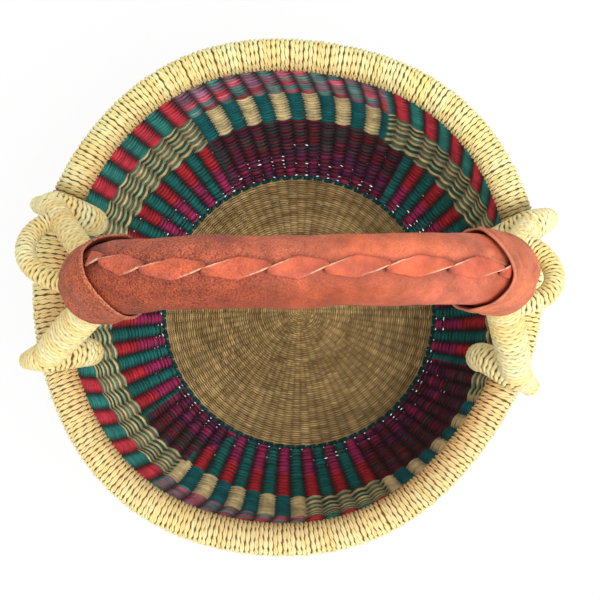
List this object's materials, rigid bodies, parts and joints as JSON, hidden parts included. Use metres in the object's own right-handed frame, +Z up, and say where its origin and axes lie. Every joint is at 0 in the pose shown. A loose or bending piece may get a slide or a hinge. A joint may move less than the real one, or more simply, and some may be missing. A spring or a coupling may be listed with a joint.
{
  "type": "bolga basket",
  "caption": "Round twined-grass market basket with a straw-whipped rim and one fixed arch handle sleeved in leather, forked on each side onto the rim.",
  "frame": {"origin": "the middle of the part's box at the level of the face that it rests on", "axes": "+X along the handle, to the right of the picture; +Y across the handle, to its top; +Z up"},
  "size_m": [0.3972, 0.39, 0.378],
  "materials": {
    "straw_grass": "natural dry grass, twisted and wound, satin",
    "khaki_grass": "dry grass woven in a spiral, matt",
    "teal_grass": "dyed grass, matt",
    "striped_grass": "dyed grass, twined in columns of teal, red and magenta, with dark purple stretches",
    "wavy_grass": "grass twined in wavy rows of tan, sage and dark green, with tan and teal blocks",
    "block_grass": "dyed grass, twined in blocks of red and teal, with mixed purple stretches",
    "bundle_grass": "bundled undyed grass, hidden",
    "tan_leather": "terracotta leather, pebbled, with dark stains and raw edges",
    "lace_leather": "terracotta leather strip, twisted, with pale cut edges"
  },
  "bodies": {
    "root": {"woven_floor": "khaki_grass", "floor_border_row": "teal_grass", "wall_striped_band": "striped_grass", "wall_wavy_band": "wavy_grass", "wall_block_band": "block_grass", "rim_whipping": "straw_grass", "rim_grass_hoop": "bundle_grass", "handle_grass_core": "bundle_grass", "leather_sleeve": "tan_leather", "seam_lace": "lace_leather", "leather_hood_left": "tan_leather", "leather_hood_right": "tan_leather", "leg_left_upper": "straw_grass", "leg_left_lower": "straw_grass", "leg_right_upper": "straw_grass", "leg_right_lower": "straw_grass", "saddle_left_upper": "straw_grass", "saddle_left_lower": "straw_grass", "saddle_right_upper": "straw_grass", "saddle_right_lower": "straw_grass", "ear_loop_left": "straw_grass", "ear_loop_right": "straw_grass"}
  },
  "joints": []
}
